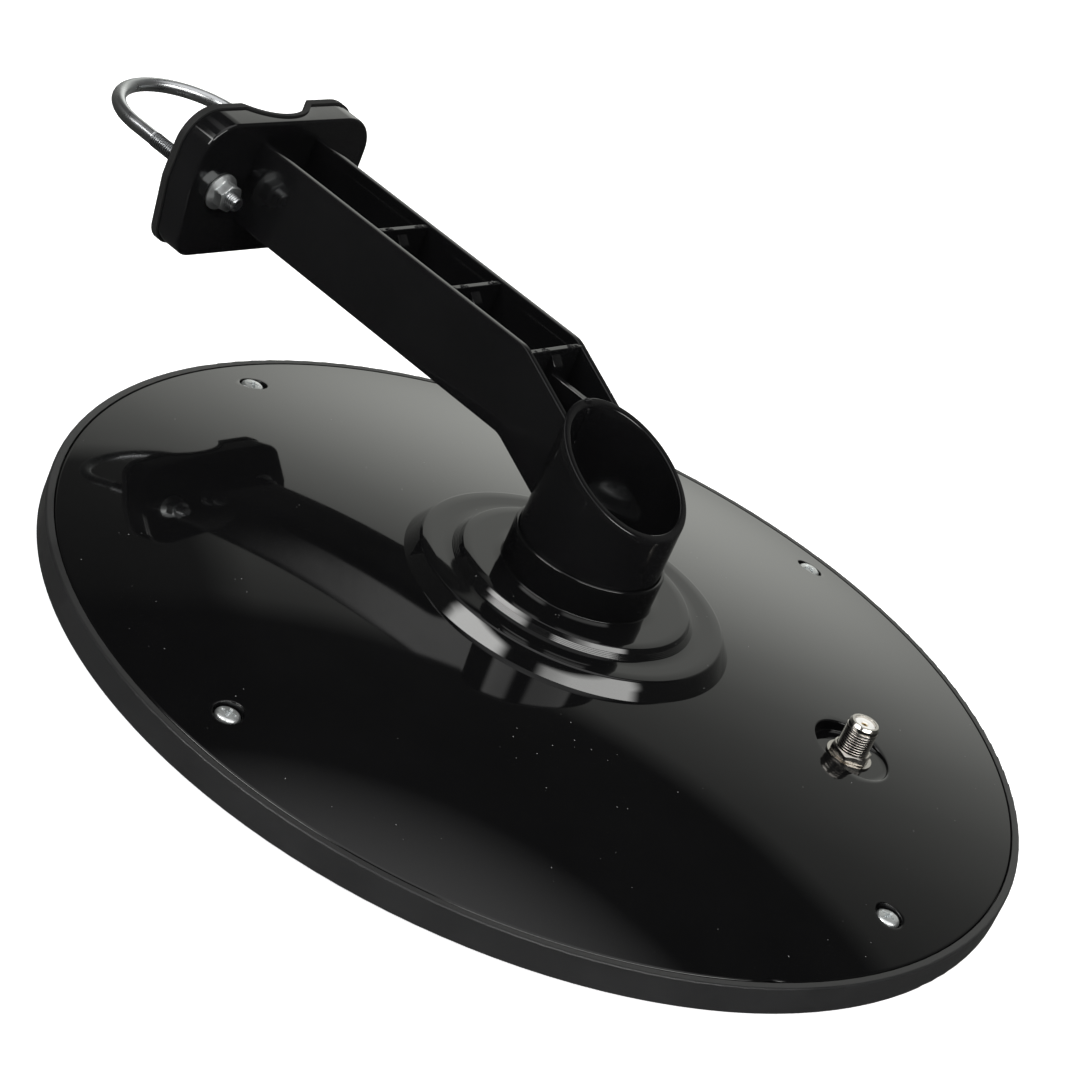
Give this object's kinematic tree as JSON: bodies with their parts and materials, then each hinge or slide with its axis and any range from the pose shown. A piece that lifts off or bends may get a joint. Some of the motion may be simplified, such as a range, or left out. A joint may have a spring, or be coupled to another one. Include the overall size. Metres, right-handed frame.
{
  "type": "disc television antenna",
  "caption": "Round flat disc aerial with a domed gloss back, a coaxial socket and a moulded arm ending in a mast plate with a U-bolt clamp.",
  "frame": {"origin": "centre of the disc's flat front face, which the part lies on", "axes": "+Z out of the domed back, along the neck; +Y along the arm, towards the mast"},
  "size_m": [0.3, 0.3676, 0.0933],
  "materials": {
    "satin_black": "satin, weather resistant",
    "gloss_black": "high gloss",
    "arm_black": "moulded semi-gloss",
    "rubber_black": "matt",
    "zinc": "bright zinc plate",
    "nickel": "nickel plate",
    "white_dielectric": "natural",
    "contact_brass": "bare",
    "element_aluminium": "mill finish",
    "circuit_board": "solder mask",
    "tinned_steel": "tinned",
    "component_black": "matt",
    "ferrite": "matt",
    "coax_jacket": "smooth"
  },
  "bodies": {
    "disc": {"front_radome": "satin_black", "back_cover": "gloss_black", "rim_gasket": "rubber_black", "cover_screws": "zinc", "connector_body": "nickel", "connector_insulator": "white_dielectric", "connector_contact": "contact_brass", "connector_washer": "nickel", "connector_nut": "nickel", "dipole_arm_1": "element_aluminium", "dipole_arm_2": "element_aluminium", "dipole_arm_3": "element_aluminium", "dipole_arm_4": "element_aluminium", "phasing_board": "circuit_board", "amplifier_board": "circuit_board", "shield_can": "tinned_steel", "board_components": "component_black", "balun_core": "ferrite", "inner_coax": "coax_jacket", "element_screws": "zinc", "board_screws": "zinc", "pivot_screw": "zinc", "pivot_washer": "zinc", "pivot_nut": "zinc"},
    "bracket": {"mast_arm": "arm_black", "mast_pad": "rubber_black"},
    "clamp_bolt": {"u_bolt": "zinc"},
    "nut_left": {"flange_nut_left": "zinc"},
    "nut_right": {"flange_nut_right": "zinc"}
  },
  "joints": [
    {"name": "bracket_swivel", "type": "hinge", "parent": "disc", "child": "bracket", "pos_m": [0, 0, 0], "axis": [0, 0, 1], "continuous": true},
    {"name": "u_bolt_slide", "type": "slide", "parent": "bracket", "child": "clamp_bolt", "axis": [0, -1, 0], "range_m": [-0.0025, 0.026]},
    {"name": "nut_left_spin", "type": "hinge", "parent": "bracket", "child": "nut_left", "pos_m": [-0.023, 0.153, 0.0702], "axis": [0, 1, 0], "continuous": true},
    {"name": "nut_right_spin", "type": "hinge", "parent": "bracket", "child": "nut_right", "pos_m": [0.023, 0.153, 0.0702], "axis": [0, 1, 0], "continuous": true}
  ],
  "couplings": [
    {"joint": "nut_left_spin", "follows": "u_bolt_slide", "rad_per_m": 7854},
    {"joint": "nut_right_spin", "follows": "u_bolt_slide", "rad_per_m": 7854}
  ]
}
